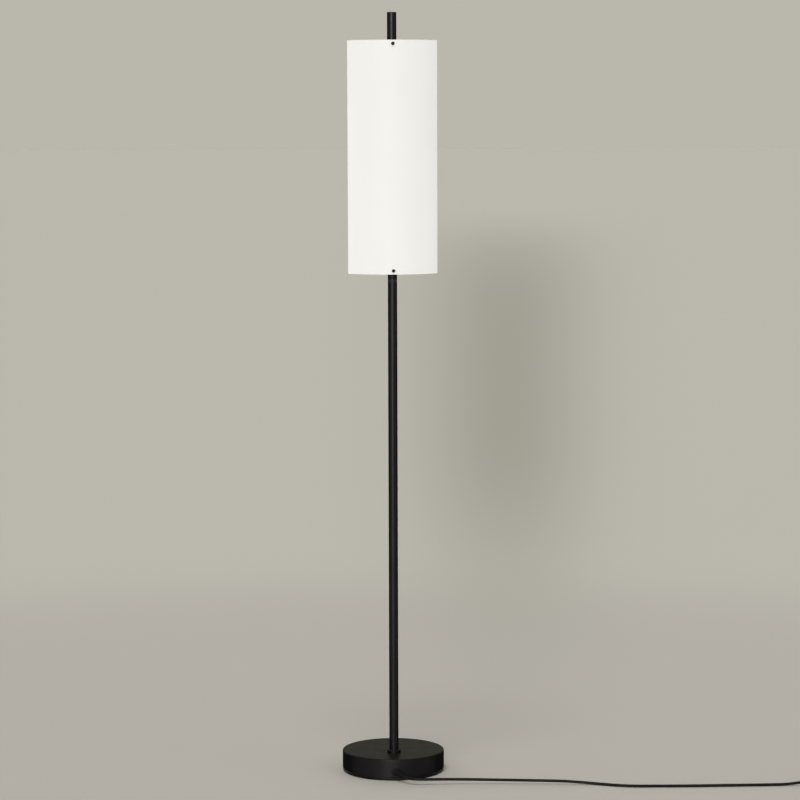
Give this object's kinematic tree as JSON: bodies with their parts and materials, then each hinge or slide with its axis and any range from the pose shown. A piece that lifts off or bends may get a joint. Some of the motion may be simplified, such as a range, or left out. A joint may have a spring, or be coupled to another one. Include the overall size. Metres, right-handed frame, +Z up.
{
  "type": "floor lamp",
  "caption": "Column floor lamp: a heavy round base, an off-centre slim post and a turning head with a tall curved reflector screen in front of a light strip.",
  "frame": {"origin": "on the floor under the centre of the round base", "axes": "+Z up along the post, -Y towards the convex side of the screen, +X to the right seen from the screen's side"},
  "size_m": [1.0535, 0.2851, 1.484],
  "materials": {
    "black_coat": "satin black powder coat",
    "white_coat": "matt white powder coat",
    "blackened_steel": "blackened screw steel",
    "zinc_steel": "zinc plated",
    "grey_iron": "as cast",
    "plain_aluminium": "extruded",
    "black_rubber": "moulded",
    "cord_sheath": "extruded sheath",
    "wire_insulation": "extruded insulation",
    "black_plastic": "fine moulded texture",
    "black_button": "moulded",
    "white_plastic": "moulded",
    "nylon": "natural",
    "board_white": "solder mask",
    "phosphor": "cast resin",
    "frosted_lens": "frosted",
    "plated_pins": "nickel plated"
  },
  "bodies": {
    "base": {"base_cover": "black_coat", "ballast": "grey_iron", "bottom_plate": "blackened_steel", "plate_screws": "zinc_steel", "foot_pad": "black_rubber", "led_driver": "white_plastic", "driver_screws": "zinc_steel", "terminal_block": "nylon", "terminal_screw": "zinc_steel", "cord_clamp": "black_plastic", "clamp_screws": "zinc_steel", "inner_cord": "cord_sheath", "supply_leads": "wire_insulation", "post_wires": "cord_sheath", "post_nipple": "zinc_steel", "nipple_washer": "zinc_steel", "nipple_nut": "zinc_steel", "post_foot_plug": "zinc_steel", "base_collar": "black_coat", "lower_post": "black_coat", "swivel_bush": "black_plastic", "wave_washer": "zinc_steel", "strain_relief": "black_rubber", "power_cord": "cord_sheath", "switch_base": "black_plastic", "switch_cover": "black_plastic", "switch_contacts": "white_plastic", "switch_leads": "wire_insulation", "switch_reliefs": "black_rubber", "switch_screws": "zinc_steel", "cord_coil": "cord_sheath", "coil_tie": "black_plastic", "plug_body": "black_plastic", "plug_pins": "plated_pins"},
    "head": {"swivel_spindle": "zinc_steel", "lock_nut": "zinc_steel", "stop_pin": "zinc_steel", "head_plug": "black_coat", "head_tube": "black_coat", "head_wires": "wire_insulation", "heat_sink": "plain_aluminium", "led_board": "board_white", "led_chips": "phosphor", "diffuser_strip": "frosted_lens", "upper_anchor": "zinc_steel", "lower_standoff": "black_coat", "upper_standoff": "black_coat", "screen": "white_coat", "screen_washers": "nylon", "screen_screws": "blackened_steel", "top_cap": "black_coat"},
    "switch_button": {"switch_button": "black_button"}
  },
  "joints": [
    {"name": "head_swivel", "type": "hinge", "parent": "base", "child": "head", "pos_m": [0, -0.034, 0.971], "axis": [0, 0, 1], "range_deg": [-160, 160]},
    {"name": "switch_press", "type": "slide", "parent": "base", "child": "switch_button", "axis": [0, 0, -1], "range_m": [0, 0.0015], "stiffness_N_per_m": 1200, "springref_m": -0.0015}
  ]
}
